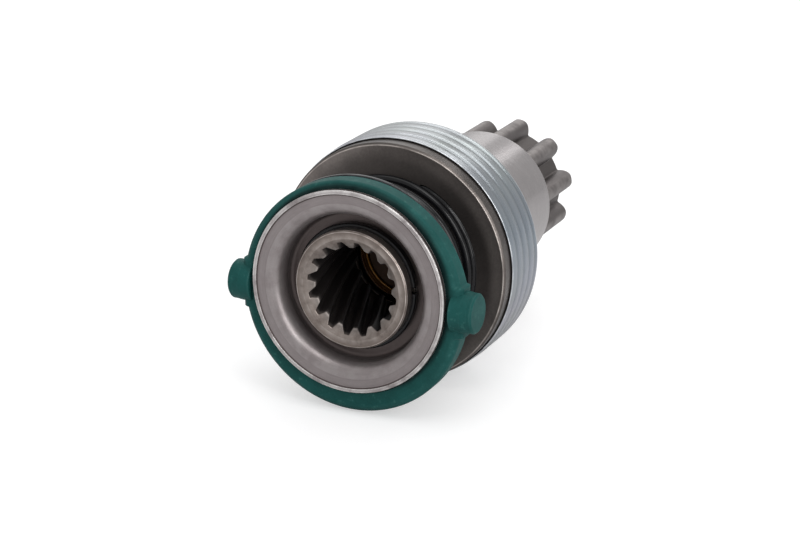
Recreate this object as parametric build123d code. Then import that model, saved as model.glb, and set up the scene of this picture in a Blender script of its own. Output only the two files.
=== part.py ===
from build123d import *
import os
from math import acos, cos, pi, radians, sin, sqrt, tan

# Starter-motor drive with a sprag one-way clutch. All sizes are in millimetres.
# The axis of turning is +Y, from the splined sleeve towards the pinion teeth.
# The origin is the centre of the spline bore's mouth, on the sleeve's front face. +Z is up.
# The trunnion pins of the guide ring point along +X and -X.

# Clearances
running_gap = 0.1
slide_gap = 0.25
hang_gap = 0.15
end_play = 0.1
cage_gap = 0.28
grip_gap = 0.03

# Splined sleeve
spline_count = 16
spline_tip_radius = 10.0
spline_root_radius = 11.65
spline_mouth_width = 2.9
spline_floor_width = 1.3
spline_turn_per_mm = 1.9
spline_phase = -6.0
spline_lead_in_radius = 12.55
spline_lead_in_depth = 1.5
spline_relief_radius = 11.95
spline_relief_length = 2.6
sleeve_radius = 14.65
sleeve_edge = 0.35

# Drive flange and clutch drum, one forging with the sleeve
flange_front = 22.35
flange_thickness = 5.2
drum_radius = 30.3
drum_wall = 3.3
drum_depth = 12.65
drum_edge = 0.55
sleeve_root_fillet = 0.8

# Snap ring on the sleeve
snap_ring_thickness = 1.9
snap_ring_outer_radius = 15.6
snap_ring_edge = 0.45
snap_groove_depth = 1.0
snap_ring_gap = 1.6
snap_ring_gap_angle = 4.0

# Guide cup, pressed from sheet
cup_sheet = 1.3
cup_rim_radius = 25.0
cup_rim_width = 1.0
cup_rim_step = 0.35
cup_rim_front = -2.35
cup_well_radius = 18.55
cup_shoulder_radius = 3.4
cup_floor_corner = 1.2

# Guide ring, moulded nylon, with its two trunnion pins
guide_ring_radius = 28.6
guide_ring_play = 1.95
guide_ring_thickness = 5.45
guide_ring_chamfer = 1.2
guide_ring_bore_chamfer = 1.8
guide_ring_rear_chamfer = 0.35
trunnion_radius = 4.85
trunnion_root_step = 0.2
trunnion_reach = 31.9
trunnion_root_gap = 1.0
trunnion_chamfer = 0.5
trunnion_pad_reach = 28.8
trunnion_pad_width = 12.6

# Spring seat washer and meshing spring
seat_radius = 26.9
seat_thickness = 1.05
spring_outer_radius = 22.9
spring_wire = 2.4
spring_turns = 4.6
spring_end_angle = 69.0
spring_seat_gap = 0.02

# Clutch races, sprags, cages and garter springs
outer_race_wall = 3.2
inner_race_radius = 15.5
inner_race_wall = 2.6
sprag_count = 14
sprag_length = 7.4
sprag_outer_cam_radius = 4.4
sprag_inner_cam_radius = 4.0
sprag_cam_offset = 0.5
sprag_head_width = 4.2
sprag_foot_width = 3.8
sprag_waist_width = 2.0
sprag_waist_height = 3.2
cage_thickness = 1.0
cage_length = 10.0
cage_window_gap = 0.35
cage_window_end_gap = 0.2
garter_wire_radius = 0.5
garter_gap = 0.1

# Thrust washer, half washers and seal
thrust_washer_thickness = 1.0
thrust_washer_inner_radius = 11.9
thrust_washer_outer_radius = 17.0
half_washer_thickness = 1.0
half_washer_inset = 1.0
half_washer_split = 0.3
seal_thickness = 0.65
seal_lip_gap = 0.2

# Clutch shell, pressed from zinc-plated sheet
shell_sheet = 0.8
shell_front = 26.15
shell_mouth_bevel = 0.45
shell_lip_round = 0.3
shell_rear_round = 1.1
shell_flange_gap = 1.4
shell_groove_count = 4
shell_groove_first = 2.95
shell_groove_pitch = 3.7
shell_groove_width = 0.9
shell_groove_depth = 0.16

# Pinion, with its neck and clutch shank
pinion_collar_radius = 17.3
pinion_collar_width = 1.2
neck_radius = 18.75
neck_end = 82.65
neck_edge = 0.4
neck_relief_depth = 0.35
neck_relief_reach = 0.75
tooth_count = 10
tooth_module = 3.175
tooth_pressure_angle = 20.0
tooth_shift = 0.1
tooth_tip_radius = 18.15
tooth_root_radius = 14.4
tooth_root_fillet = 0.4
tooth_face_width = 19.0
tooth_phase = 9.0
tooth_tip_round = 2.0
tooth_tip_bevel = 0.5

# Bronze bushes in the pinion
bush_radius = 11.2
bush_bore_radius = 9.9
bush_length = 16.0
bush_front_recess = 2.0
bush_rear_recess = 2.5
bush_bevel = 0.5
bore_relief_radius = 11.8

# Places that follow from the sizes above
flange_back = flange_front + flange_thickness
drum_back = flange_back + drum_depth
drum_bore_radius = drum_radius - drum_wall
thrust_washer_back = flange_back + thrust_washer_thickness
shank_front = thrust_washer_back + end_play
half_washer_outer_radius = drum_bore_radius - half_washer_inset
half_washer_back = drum_back + half_washer_thickness
seal_back = half_washer_back + seal_thickness
shell_back = seal_back + shell_sheet
shell_flange_radius = neck_radius + shell_flange_gap
groove_front = drum_back - end_play
groove_back = half_washer_back + end_play
neck_relief_back = shell_back + neck_relief_reach
collar_front = groove_front - pinion_collar_width
shank_radius = inner_race_radius - inner_race_wall
pinion_end = neck_end + tooth_face_width
clutch_middle = (shank_front + collar_front) / 2
outer_race_bore_radius = drum_bore_radius - outer_race_wall
race_gap = outer_race_bore_radius - inner_race_radius
sprag_orbit = (outer_race_bore_radius + inner_race_radius) / 2
inner_cage_bore_radius = inner_race_radius + cage_gap
inner_cage_radius = inner_cage_bore_radius + cage_thickness
outer_cage_radius = outer_race_bore_radius - cage_gap
outer_cage_bore_radius = outer_cage_radius - cage_thickness
snap_groove_radius = sleeve_radius - snap_groove_depth
cup_tube_radius = cup_well_radius + cup_sheet
cup_bore_radius = sleeve_radius + slide_gap
cup_flange_front = cup_rim_front + cup_rim_step
cup_flange_back = cup_flange_front + cup_sheet
guide_ring_front = cup_flange_back + end_play
guide_ring_back = guide_ring_front + guide_ring_thickness
guide_ring_middle = (guide_ring_front + guide_ring_back) / 2
guide_ring_bore_radius = cup_tube_radius + guide_ring_play + hang_gap
trunnion_inner_reach = cup_rim_radius + trunnion_root_gap
seat_front = guide_ring_back + end_play
cup_floor_back = seat_front + seat_thickness
cup_floor_front = cup_floor_back - cup_sheet
snap_ring_back = cup_floor_front - end_play
snap_ring_front = snap_ring_back - snap_ring_thickness


def turned(points):
    """A body turned about the Y axis from a closed outline of (radius, y) points."""
    return revolve(make_face(Polyline(*points, close=True)), axis=Axis.Y)


def tube(inner, outer, start, end):
    """A plain tube round the Y axis."""
    return turned([(inner, start), (outer, start), (outer, end), (inner, end)])


def round_edges(body, radius, y):
    """The full circles of a body that have this radius and lie at this y."""
    circles = body.edges().filter_by(GeomType.CIRCLE)
    return circles.filter_by(
        lambda edge: abs(edge.radius - radius) < 1e-4 and abs(edge.arc_center.Y - y) < 1e-4
    )


def around(body, angle):
    """The body turned about the Y axis, from +X towards +Z."""
    return Rot(0, -angle, 0) * body


def across(sketch, y):
    """A sketch laid across the Y axis at y, with its x along X and its y along Z."""
    return Plane(origin=(0, y, 0), x_dir=(1, 0, 0), z_dir=(0, -1, 0)) * sketch


def along(sketch, start, end):
    """A straight bar along Y from start to end with this cross-section."""
    return extrude(across(sketch, start), amount=end - start, dir=(0, 1, 0))


def spline_groove():
    """Cross-section of one space between the internal splines, pointing along +X."""
    mouth = spline_tip_radius - running_gap
    deep = spline_root_radius
    outline = Polyline(
        (spline_tip_radius / 2, -spline_mouth_width / 2),
        (mouth, -spline_mouth_width / 2),
        (deep, -spline_floor_width / 2),
        (deep, spline_floor_width / 2),
        (mouth, spline_mouth_width / 2),
        (spline_tip_radius / 2, spline_mouth_width / 2),
        close=True,
    )
    groove = make_face(outline)
    floor_corners = groove.vertices().sort_by(Axis.X)[-2:]
    return fillet(floor_corners, spline_floor_width * 0.3)


def spline_cutter():
    """The space that the splined shaft fills: a toothed core twisted along the sleeve."""
    core = Sketch() + Circle(spline_tip_radius)
    for index in range(spline_count):
        core += Rot(0, 0, spline_phase + 360 * index / spline_count) * spline_groove()
    section = across(core, 0).faces()[0]
    length = flange_back
    return Solid.extrude_linear_with_rotation(
        section, (0, 0, 0), (0, length, 0), spline_turn_per_mm * length
    )


def make_driver():
    """Sleeve with helical splines, drive flange and clutch drum in one piece."""
    body = turned([
        (spline_tip_radius / 2, 0),
        (sleeve_radius, 0),
        (sleeve_radius, flange_front),
        (drum_radius, flange_front),
        (drum_radius, drum_back),
        (drum_bore_radius, drum_back),
        (drum_bore_radius, flange_back),
        (spline_tip_radius / 2, flange_back),
    ])
    body = fillet(round_edges(body, sleeve_radius, flange_front), sleeve_root_fillet)
    body = chamfer(round_edges(body, drum_radius, flange_front), drum_edge)
    body = chamfer(round_edges(body, sleeve_radius, 0), sleeve_edge)
    body -= tube(snap_groove_radius, sleeve_radius + 1, snap_ring_front, snap_ring_back)
    body -= spline_cutter()
    body -= turned([(0, 0), (spline_lead_in_radius, 0), (spline_tip_radius, spline_lead_in_depth),
                    (0, spline_lead_in_depth)])
    relief_front = flange_back - spline_relief_length
    body -= tube(0, spline_relief_radius, relief_front, flange_back)
    return body


def make_snap_ring():
    """Split ring in the sleeve's groove, which stops the guide cup."""
    ring = tube(snap_groove_radius, snap_ring_outer_radius, snap_ring_front, snap_ring_back)
    edge = min(snap_ring_edge, (snap_ring_outer_radius - snap_groove_radius) / 2)
    ring = fillet(round_edges(ring, snap_ring_outer_radius, snap_ring_front), edge)
    gap = Pos(snap_ring_outer_radius, snap_ring_front, 0) * Box(
        snap_ring_outer_radius, 4 * snap_ring_thickness, snap_ring_gap)
    return ring - around(gap, snap_ring_gap_angle)


def make_guide_cup():
    """Pressed cup: rolled rim, flat annulus, rounded shoulder, short tube and floor."""
    step_radius = cup_rim_radius - cup_rim_width
    body = turned([
        (cup_bore_radius, cup_floor_front),
        (cup_well_radius, cup_floor_front),
        (cup_well_radius, cup_flange_front),
        (step_radius, cup_flange_front),
        (step_radius, cup_rim_front),
        (cup_rim_radius, cup_rim_front),
        (cup_rim_radius, cup_flange_back),
        (cup_tube_radius, cup_flange_back),
        (cup_tube_radius, cup_floor_back),
        (cup_bore_radius, cup_floor_back),
    ])
    body = fillet(round_edges(body, cup_well_radius, cup_flange_front), cup_shoulder_radius)
    body = fillet(round_edges(body, cup_well_radius, cup_floor_front), cup_floor_corner)
    inner_bend = cup_shoulder_radius - cup_sheet
    body = fillet(round_edges(body, cup_tube_radius, cup_flange_back), inner_bend)
    body = fillet(round_edges(body, cup_rim_radius, cup_rim_front), cup_rim_step)
    return fillet(round_edges(body, step_radius, cup_rim_front), cup_rim_step * 0.6)


def trunnion_bar(radius, start, end):
    """A round bar along +X through the middle of the guide ring's thickness."""
    bar = Rot(0, 90, 0) * Cylinder(radius, end - start)
    return Pos((start + end) / 2, guide_ring_middle, 0) * bar


def make_guide_ring():
    """Nylon ring that hangs on the cup's tube, with a trunnion pin on each side."""
    start, end = guide_ring_front, guide_ring_back
    ring = tube(guide_ring_bore_radius, guide_ring_radius, start, end)
    ring = chamfer(round_edges(ring, guide_ring_radius, start), guide_ring_chamfer)
    ring = chamfer(round_edges(ring, guide_ring_radius, end), guide_ring_rear_chamfer)
    ring = chamfer(round_edges(ring, guide_ring_bore_radius, start), guide_ring_bore_chamfer)
    bore = tube(0, guide_ring_bore_radius + guide_ring_bore_chamfer, start, end)
    pad = Pos(trunnion_pad_reach / 2, guide_ring_middle, 0) * Box(
        trunnion_pad_reach, guide_ring_thickness, trunnion_pad_width)
    root = trunnion_bar(trunnion_radius + trunnion_root_step, trunnion_inner_reach, trunnion_pad_reach)
    pin = trunnion_bar(trunnion_radius, trunnion_inner_reach, trunnion_reach)
    pin = root + chamfer(pin.edges().filter_by(GeomType.CIRCLE).sort_by(Axis.X)[-1], trunnion_chamfer)
    ear = fillet(pad.edges().filter_by(Axis.Y).sort_by(Axis.X)[-2:], trunnion_chamfer) - bore
    ring = ring + ear + pin + Rot(0, 180, 0) * (ear + pin)
    seat_space = tube(0, seat_radius + slide_gap, end, end + trunnion_radius)
    return Pos(0, 0, -guide_ring_play) * ring - seat_space


def make_spring_seat():
    """Washer pressed on the end of the cup's tube. It carries the meshing spring."""
    washer = tube(cup_tube_radius, seat_radius, seat_front, cup_floor_back)
    return chamfer(round_edges(washer, seat_radius, seat_front), 0.2)


def make_meshing_spring():
    """Left-hand coil spring with ground ends between the seat washer and the drive flange."""
    start = cup_floor_back + spring_seat_gap
    end = flange_front - spring_seat_gap
    mean_radius = spring_outer_radius - spring_wire / 2
    height = end - start
    pitch = height / spring_turns
    path = Helix(pitch=pitch, height=height, radius=mean_radius, lefthand=True)
    section = Plane(origin=path @ 0, z_dir=path % 0) * Circle(spring_wire / 2)
    coil = sweep(section, path=path, is_frenet=True)
    coil = Pos(0, start, 0) * Rot(-90, 0, 0) * coil
    coil = around(coil, spring_end_angle - 360 * spring_turns)
    ground = Pos(0, (start + end) / 2, 0) * Box(3 * mean_radius, height, 3 * mean_radius)
    return coil & ground


def make_clutch_shell():
    """Sheet shell over the drum, turned in behind the clutch to hold it together."""
    outer = drum_radius + shell_sheet
    body = turned([
        (drum_radius, shell_front),
        (outer, shell_front),
        (outer, shell_back),
        (shell_flange_radius, shell_back),
        (shell_flange_radius, seal_back),
        (drum_radius, seal_back),
    ])
    body = chamfer(round_edges(body, drum_radius, shell_front), shell_mouth_bevel)
    body = fillet(round_edges(body, outer, shell_front), shell_lip_round)
    body = fillet(round_edges(body, outer, shell_back), shell_rear_round)
    for index in range(shell_groove_count):
        middle = shell_front + shell_groove_first + index * shell_groove_pitch
        body -= turned([
            (outer - shell_groove_depth, middle),
            (outer + shell_sheet, middle - shell_groove_width * 2),
            (outer + shell_sheet, middle + shell_groove_width * 2),
        ])
    return body


def sprag_outline():
    """Cross-section of one sprag about its rocking axis, with Z away from the clutch axis."""
    inner_reach = inner_race_radius + grip_gap
    outer_reach = outer_race_bore_radius - grip_gap
    head_centre = sqrt((outer_reach - sprag_outer_cam_radius) ** 2 - sprag_cam_offset ** 2)
    foot_centre = sqrt((inner_reach + sprag_inner_cam_radius) ** 2 - sprag_cam_offset ** 2)
    head = Pos(-sprag_cam_offset, head_centre - sprag_orbit) * Circle(sprag_outer_cam_radius)
    foot = Pos(sprag_cam_offset, foot_centre - sprag_orbit) * Circle(sprag_inner_cam_radius)
    half_waist = sprag_waist_height / 2
    head &= Pos(0, half_waist + race_gap / 2) * Rectangle(sprag_head_width, race_gap)
    foot &= Pos(0, -half_waist - race_gap / 2) * Rectangle(sprag_foot_width, race_gap)
    return head + foot + Rectangle(sprag_waist_width, sprag_waist_height + running_gap)


def make_sprags():
    """The sprags, evenly spaced between the two races."""
    start = clutch_middle - sprag_length / 2
    sprag = Pos(0, 0, sprag_orbit) * along(sprag_outline(), start, start + sprag_length)
    waist_corners = sprag.edges().filter_by(Axis.Y).filter_by(
        lambda edge: abs(abs(edge.center().X) - sprag_waist_width / 2) < 1e-4)
    sprag = fillet(waist_corners, sprag_waist_width / 4)
    return [Rot(0, 360 * index / sprag_count, 0) * sprag for index in range(sprag_count)]


def make_cage(bore, radius, sprag_width):
    """A cage ring with one window for each sprag."""
    start = clutch_middle - cage_length / 2
    cage = tube(bore, radius, start, start + cage_length)
    window = Pos(0, clutch_middle, radius) * Box(
        sprag_width + 2 * cage_window_gap, sprag_length + 2 * cage_window_end_gap, 4 * cage_thickness)
    for index in range(sprag_count):
        cage -= Rot(0, 360 * index / sprag_count, 0) * window
    return cage


def make_garter_spring(side):
    """Energizing spring beside the ends of the sprags, on the side given by -1 or 1."""
    middle = clutch_middle + side * (sprag_length / 2 + garter_gap + garter_wire_radius)
    wire = Pos(sprag_orbit, middle) * Circle(garter_wire_radius)
    return revolve(wire, axis=Axis.Y)


def make_half_washer(side):
    """One of the two half washers that hold the pinion's collar in the drum."""
    bore = shank_groove_radius() + running_gap
    washer = tube(bore, half_washer_outer_radius, drum_back, half_washer_back)
    width = 2 * half_washer_outer_radius
    keep = Pos(0, drum_back, side * (half_washer_split + width) / 2) * Box(width, width, width)
    return washer & keep


def make_rear_seal():
    """Flat seal between the half washers and the shell's flange."""
    return tube(neck_radius + seal_lip_gap, half_washer_outer_radius, half_washer_back, seal_back)


def shank_groove_radius():
    """Radius at the bottom of the pinion's groove for the half washers."""
    return inner_race_radius


def involute_angle(radius):
    """Angle in radians that an involute flank has turned through at this radius."""
    base = tooth_count * tooth_module / 2 * cos(radians(tooth_pressure_angle))
    pressure = acos(min(1.0, base / radius))
    return tan(pressure) - pressure


def tooth_half_angle(radius):
    """Half of the angle, in radians, that a tooth takes up at this radius."""
    pitch_radius = tooth_count * tooth_module / 2
    thickness = tooth_module * (pi / 2 + 2 * tooth_shift * tan(radians(tooth_pressure_angle)))
    start = thickness / (2 * pitch_radius) + involute_angle(pitch_radius)
    return start - involute_angle(radius)


def tooth_outline():
    """Cross-section of one pinion tooth, pointing along +X and rooted inside the core."""
    base = tooth_count * tooth_module / 2 * cos(radians(tooth_pressure_angle))
    steps = 5
    radii = [base + (tooth_tip_radius - base) * index / steps for index in range(steps + 1)]
    flank = [(r * cos(tooth_half_angle(r)), r * sin(tooth_half_angle(r))) for r in radii]
    mirror = [(x, -y) for x, y in flank]
    core = tooth_root_radius / 2
    root_angle = tooth_half_angle(base)
    root = (core * cos(root_angle), core * sin(root_angle))
    outline = [
        Line(root, flank[0]),
        Spline(*flank),
        ThreePointArc(flank[-1], (tooth_tip_radius, 0), mirror[-1]),
        Spline(*reversed(mirror)),
        Line(mirror[0], (root[0], -root[1])),
        Line((root[0], -root[1]), root),
    ]
    return make_face(outline)


def long_edges(body, radius):
    """The edges along Y that lie at this radius."""
    return body.edges().filter_by(Axis.Y).filter_by(
        lambda edge: abs(sqrt(edge.center().X ** 2 + edge.center().Z ** 2) - radius) < 1e-3)


def make_teeth():
    """The toothed end of the pinion, with its tips bevelled towards the nose."""
    section = Sketch() + Circle(tooth_root_radius)
    for index in range(tooth_count):
        section += Rot(0, 0, tooth_phase + 360 * index / tooth_count) * tooth_outline()
    teeth = along(section, neck_end, pinion_end)
    teeth = fillet(long_edges(teeth, tooth_root_radius), tooth_root_fillet)
    teeth = fillet(long_edges(teeth, tooth_tip_radius), tooth_tip_round)
    blank = tube(0, tooth_tip_radius + running_gap, neck_end, pinion_end)
    tip = round_edges(blank, tooth_tip_radius + running_gap, pinion_end)
    return teeth & chamfer(tip, tooth_tip_bevel + running_gap)


def make_pinion():
    """Pinion with its bearing neck, the collar in the clutch and the shank for the race."""
    body = turned([
        (0, shank_front),
        (shank_radius, shank_front),
        (shank_radius, collar_front),
        (pinion_collar_radius, collar_front),
        (pinion_collar_radius, groove_front),
        (shank_groove_radius(), groove_front),
        (shank_groove_radius(), groove_back),
        (neck_radius - neck_relief_depth, groove_back),
        (neck_radius - neck_relief_depth, neck_relief_back),
        (neck_radius, neck_relief_back),
        (neck_radius, neck_end),
        (0, neck_end),
    ])
    body = chamfer(round_edges(body, neck_radius, neck_end), neck_edge)
    body += make_teeth()
    body -= tube(0, bush_radius, shank_front, pinion_end)
    bush_gap_front = shank_front + bush_front_recess + bush_length
    bush_gap_back = pinion_end - bush_rear_recess - bush_length
    body -= tube(bush_radius / 2, bore_relief_radius, bush_gap_front, bush_gap_back)
    mouth_edges = round_edges(body, bush_radius, shank_front) + round_edges(body, bush_radius, pinion_end)
    return chamfer(mouth_edges, bore_relief_radius - bush_radius)


def make_bush(start):
    """Bronze bush pressed into the pinion, bevelled at both ends of its bore."""
    bush = tube(bush_bore_radius, bush_radius, start, start + bush_length)
    ends = round_edges(bush, bush_bore_radius, start)
    ends += round_edges(bush, bush_bore_radius, start + bush_length)
    return chamfer(ends, bush_bevel)


def all_parts():
    """Every piece by its name."""
    parts = {
        "driver": make_driver(),
        "snap_ring": make_snap_ring(),
        "guide_cup": make_guide_cup(),
        "guide_ring": make_guide_ring(),
        "spring_seat": make_spring_seat(),
        "meshing_spring": make_meshing_spring(),
        "clutch_shell": make_clutch_shell(),
        "outer_race": tube(outer_race_bore_radius, drum_bore_radius, flange_back, drum_back),
        "inner_race": tube(shank_radius, inner_race_radius, shank_front, collar_front),
        "outer_cage": make_cage(outer_cage_bore_radius, outer_cage_radius, sprag_head_width),
        "inner_cage": make_cage(inner_cage_bore_radius, inner_cage_radius, sprag_foot_width),
        "garter_spring_front": make_garter_spring(-1),
        "garter_spring_rear": make_garter_spring(1),
        "thrust_washer": tube(
            thrust_washer_inner_radius, thrust_washer_outer_radius, flange_back, thrust_washer_back),
        "half_washer_upper": make_half_washer(1),
        "half_washer_lower": make_half_washer(-1),
        "rear_seal": make_rear_seal(),
        "pinion": make_pinion(),
        "front_bush": make_bush(shank_front + bush_front_recess),
        "rear_bush": make_bush(pinion_end - bush_rear_recess - bush_length),
    }
    for number, sprag in enumerate(make_sprags(), start=1):
        parts[f"sprag_{number:02d}"] = sprag
    return parts


os.makedirs("parts", exist_ok=True)
for name, shape in all_parts().items():
    export_step(shape, f"parts/{name}.step")
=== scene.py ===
import math

import bpy
import numpy as np
from bpy.props import FloatProperty, FloatVectorProperty, IntProperty, PointerProperty
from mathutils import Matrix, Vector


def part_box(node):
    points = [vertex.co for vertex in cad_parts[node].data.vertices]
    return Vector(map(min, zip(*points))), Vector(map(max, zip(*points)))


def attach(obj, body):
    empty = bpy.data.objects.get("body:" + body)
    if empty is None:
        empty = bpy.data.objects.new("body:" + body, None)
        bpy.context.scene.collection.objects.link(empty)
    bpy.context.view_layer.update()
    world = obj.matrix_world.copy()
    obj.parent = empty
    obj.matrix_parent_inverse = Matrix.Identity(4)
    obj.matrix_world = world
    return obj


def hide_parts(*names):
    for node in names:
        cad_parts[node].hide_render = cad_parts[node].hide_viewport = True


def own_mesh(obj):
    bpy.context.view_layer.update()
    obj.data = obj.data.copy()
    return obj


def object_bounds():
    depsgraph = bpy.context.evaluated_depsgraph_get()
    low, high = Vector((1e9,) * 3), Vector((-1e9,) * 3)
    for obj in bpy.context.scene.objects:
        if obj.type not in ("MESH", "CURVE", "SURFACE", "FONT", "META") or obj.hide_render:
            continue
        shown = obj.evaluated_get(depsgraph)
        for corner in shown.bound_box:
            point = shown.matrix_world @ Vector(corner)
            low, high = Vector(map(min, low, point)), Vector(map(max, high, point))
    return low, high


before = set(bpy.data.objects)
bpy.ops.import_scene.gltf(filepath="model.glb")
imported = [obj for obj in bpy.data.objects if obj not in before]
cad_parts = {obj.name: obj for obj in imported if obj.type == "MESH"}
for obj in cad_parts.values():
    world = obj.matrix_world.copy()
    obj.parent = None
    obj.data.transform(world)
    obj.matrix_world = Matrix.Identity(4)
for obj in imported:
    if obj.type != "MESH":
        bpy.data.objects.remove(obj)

bl_info = {
    "name": "Starter drive with sprag clutch",
    "version": (1, 0, 0),
    "blender": (4, 5, 0),
    "location": "View3D > Sidebar > Starter Drive",
    "description": "Builds the dressed starter drive, its finishes and its studio over the packed model",
    "category": "Object",
}

MM = 0.001
CAD_BOX = [list(corner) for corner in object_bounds()]
SNAP_FRONT, SNAP_BACK = 2.7, 4.6  # sides of the snap ring and its groove, in mm
FLOAT, COLOUR = "NodeSocketFloat", "NodeSocketColor"


def reach(node, axis):
    """How far a node's box reaches along an axis of the row frame, in metres."""
    return round(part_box(node)[1][axis], 6)


# ---------------------------------------------------------------- sizes and colours


def length(label, text, value):
    """A length property, in metres."""
    return FloatProperty(name=label, description=text, default=value, unit="LENGTH", precision=5)


def slant(label, text, degrees):
    """An angle property, given here in degrees."""
    return FloatProperty(name=label, description=text, default=math.radians(degrees), subtype="ANGLE")


def colour(label, text, value):
    """A colour property in linear light."""
    return FloatVectorProperty(
        name=label, description=text, default=value, subtype="COLOR", size=3, min=0.0, max=1.0)


class DriveSizes(bpy.types.PropertyGroup):
    """Sizes of the sleeve, flange and drum, the cup, the fork ring and the spring."""

    sleeve_radius: length("Sleeve radius", "Outer radius of the splined sleeve", 14.65 * MM)
    drum_radius: length("Drum radius", "Outer radius of the flange and the clutch drum", reach("driver", 0))
    flange_front: length("Flange front", "Place of the flange's front face along the axis", 22.35 * MM)
    spline_count: IntProperty(
        name="Splines", description="Number of helical splines in the sleeve", default=16, min=4)
    spline_tip_radius: length("Spline tip radius", "Radius over the tips of the internal splines", 10.0 * MM)
    spline_root_radius: length("Spline root radius", "Radius at the bottom of the spline spaces", 11.65 * MM)
    spline_phase: slant("Spline phase", "Angle of the first spline space above the X axis", -6.0)
    spline_turn: FloatProperty(
        name="Spline turn", description="Turn of the splines for each metre of sleeve",
        default=math.radians(1.9) / MM, precision=2)
    rim_radius: length("Cup rim radius", "Outer radius of the guide cup's rim", reach("guide_cup", 0))
    rim_width: length("Cup rim width", "Width of the raised rim", 1.0 * MM)
    shoulder_round: length("Cup shoulder", "Radius of the shoulder between annulus and well", 3.4 * MM)
    ring_radius: length("Fork ring radius", "Outer radius of the nylon fork ring", 28.6 * MM)
    pin_radius: length("Pin radius", "Radius of the fork ring's two trunnion pins", 4.85 * MM)
    spring_radius: length("Spring radius", "Outer radius of the meshing spring", 22.9 * MM)
    spring_wire: length("Spring wire", "Diameter of the spring's wire", 2.4 * MM)
    spring_turns: FloatProperty(
        name="Spring turns", description="Number of turns of the spring, closed ends included", default=4.6)


class ClutchSizes(bpy.types.PropertyGroup):
    """Sizes of the clutch shell and the pinion."""

    shell_radius: length("Shell radius", "Outer radius of the plated shell", reach("clutch_shell", 0))
    shell_sheet: length("Shell sheet", "Thickness of the shell's sheet", 0.8 * MM)
    groove_depth: length("Groove depth", "Depth of the rolled grooves round the shell", 0.16 * MM)
    neck_radius: length("Neck radius", "Radius of the pinion's ground bearing neck", 18.75 * MM)
    neck_end: length("Neck end", "Place where the neck ends and the teeth begin", 82.65 * MM)
    tooth_count: IntProperty(name="Teeth", description="Number of pinion teeth", default=10, min=6)
    tooth_module: length("Tooth module", "Module of the teeth, in metres", 3.175 * MM)
    tooth_tip_radius: length("Tooth tip radius", "Radius over the teeth", 18.15 * MM)
    tooth_root_radius: length("Tooth root radius", "Radius at the bottom of the tooth spaces", 14.4 * MM)
    tooth_phase: slant("Tooth phase", "Angle of the first tooth above the X axis", 9.0)


class FinishColours(bpy.types.PropertyGroup):
    """Base colours of the finishes."""

    phosphate: colour("Phosphated steel", "Dark drive flange and drum", (0.215, 0.190, 0.178))
    turned: colour("Turned steel", "Bare turned end face of the sleeve", (0.182, 0.149, 0.132))
    black: colour("Black oxide", "Spring, snap ring and seat washer", (0.006, 0.006, 0.007))
    sheet: colour("Pressed sheet", "Guide cup", (0.262, 0.230, 0.230))
    nylon: colour("Green nylon", "Fork ring", (0.011, 0.074, 0.068))
    zinc: colour("Zinc plate", "Clutch shell", (0.345, 0.358, 0.374))
    neck: colour("Ground neck", "Bearing neck of the pinion", (0.395, 0.372, 0.372))
    teeth: colour("Tooth steel", "Flanks and tips of the pinion's teeth", (0.155, 0.140, 0.137))
    race: colour("Race steel", "Races, sprags, cages and washers", (0.500, 0.490, 0.480))
    bronze: colour("Bronze", "Bushes in the pinion", (0.500, 0.210, 0.050))
    rubber: colour("Seal rubber", "Flat seal behind the clutch", (0.018, 0.018, 0.019))
    floor: colour("Floor", "Plain pale floor of the studio", (0.620, 0.620, 0.624))


class StudioSettings(bpy.types.PropertyGroup):
    """Camera and light."""

    azimuth: slant("Azimuth", "Camera's angle round the object from straight ahead", 24.6)
    elevation: slant("Elevation", "Camera's angle above the horizon", 18.4)
    distance: length("Distance", "From the camera to the plane of the cup's rim", 522.5 * MM)
    lens: FloatProperty(
        name="Lens", description="Focal length on a sensor 36 mm wide", default=100.0,
        subtype="DISTANCE_CAMERA")
    world_strength: FloatProperty(
        name="Room light", description="Strength of the even light from all round", default=0.62)
    key_power: FloatProperty(
        name="Light power", description="Power that the soft lights share out", default=4.0, subtype="POWER")


# ---------------------------------------------------------------- profiles and meshes


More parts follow.
